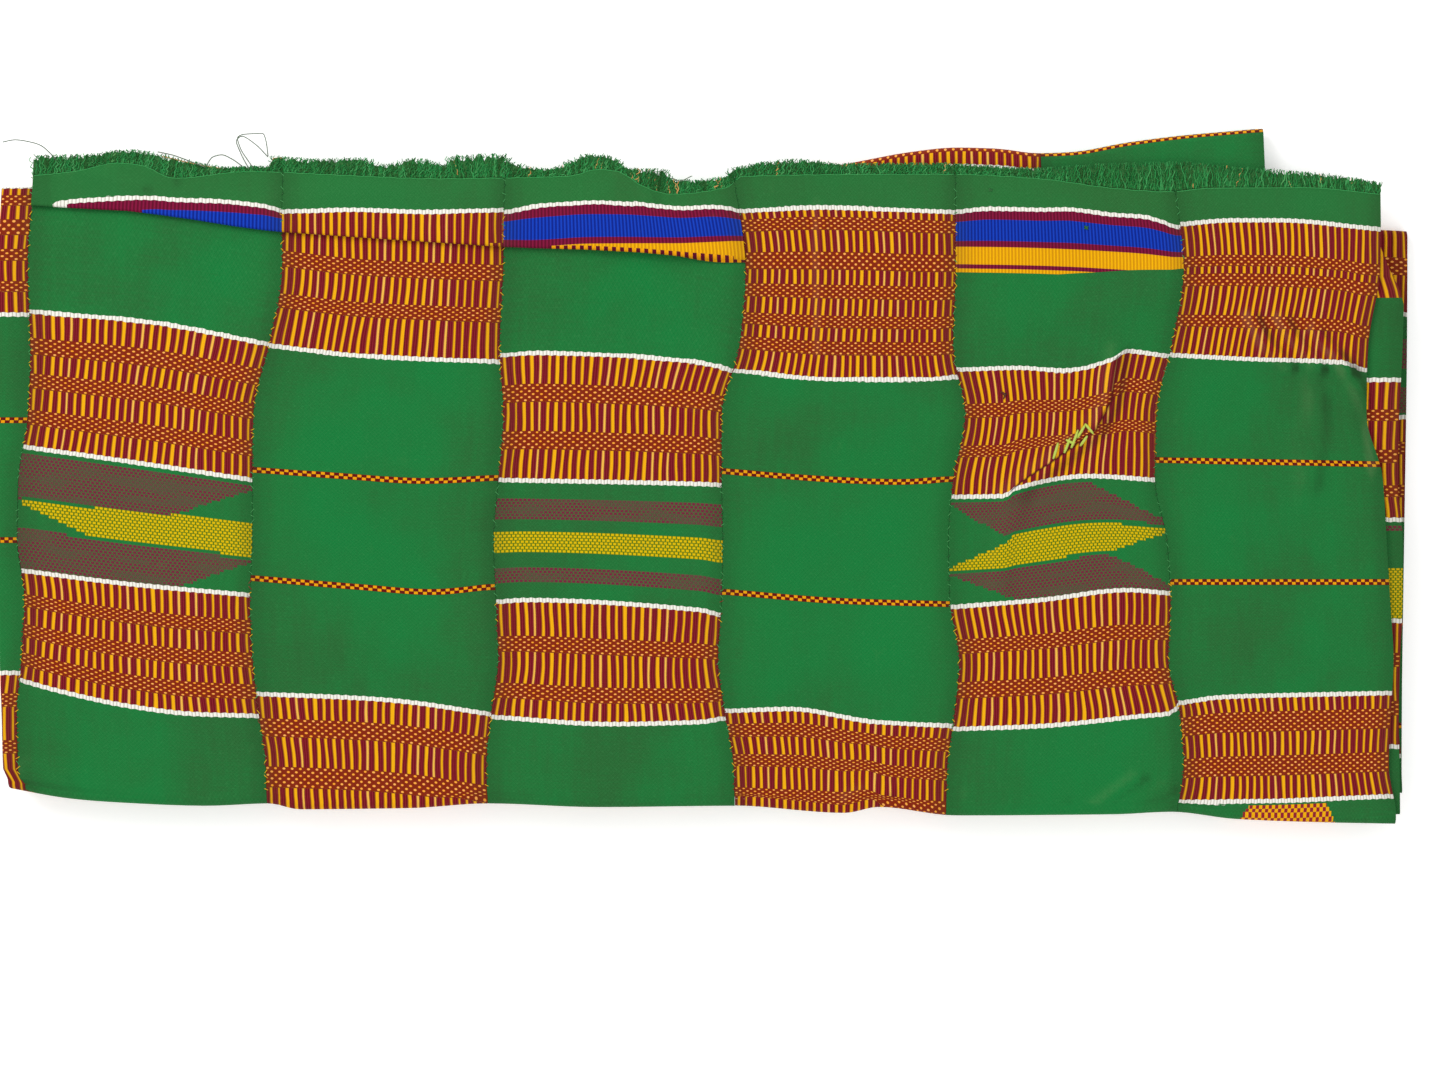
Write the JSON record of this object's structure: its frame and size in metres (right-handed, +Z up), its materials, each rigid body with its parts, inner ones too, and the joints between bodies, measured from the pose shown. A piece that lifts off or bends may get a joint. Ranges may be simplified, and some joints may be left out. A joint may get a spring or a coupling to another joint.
{
  "type": "folded kente cloth",
  "caption": "Strip-woven cotton cloth, doubled over at its left side and folded back and forth into a flat pile, with a short frayed fringe along its top end.",
  "frame": {"origin": "middle of the pile's outline, on the surface that it rests on", "axes": "+Z up, +X along the folds to the right, +Y from the front fold to the frayed end"},
  "size_m": [0.5887, 0.291, 0.0221],
  "materials": {
    "woven_strip": "woven, matt",
    "frayed_warp": "loose yarn, matt"
  },
  "bodies": {
    "root": {"wrap_strip": "woven_strip", "face_strip_1": "woven_strip", "face_strip_2": "woven_strip", "face_strip_3": "woven_strip", "face_strip_4": "woven_strip", "face_strip_5": "woven_strip", "face_strip_6": "woven_strip", "back_strip_1": "woven_strip", "back_strip_2": "woven_strip", "back_strip_3": "woven_strip", "back_strip_4": "woven_strip", "back_strip_5": "woven_strip", "face_fringe_1": "frayed_warp", "face_fringe_2": "frayed_warp", "face_fringe_3": "frayed_warp", "face_fringe_4": "frayed_warp", "face_fringe_5": "frayed_warp", "face_fringe_6": "frayed_warp", "back_fringe_1": "frayed_warp", "back_fringe_2": "frayed_warp", "back_fringe_3": "frayed_warp", "back_fringe_4": "frayed_warp", "back_fringe_5": "frayed_warp"}
  },
  "joints": []
}
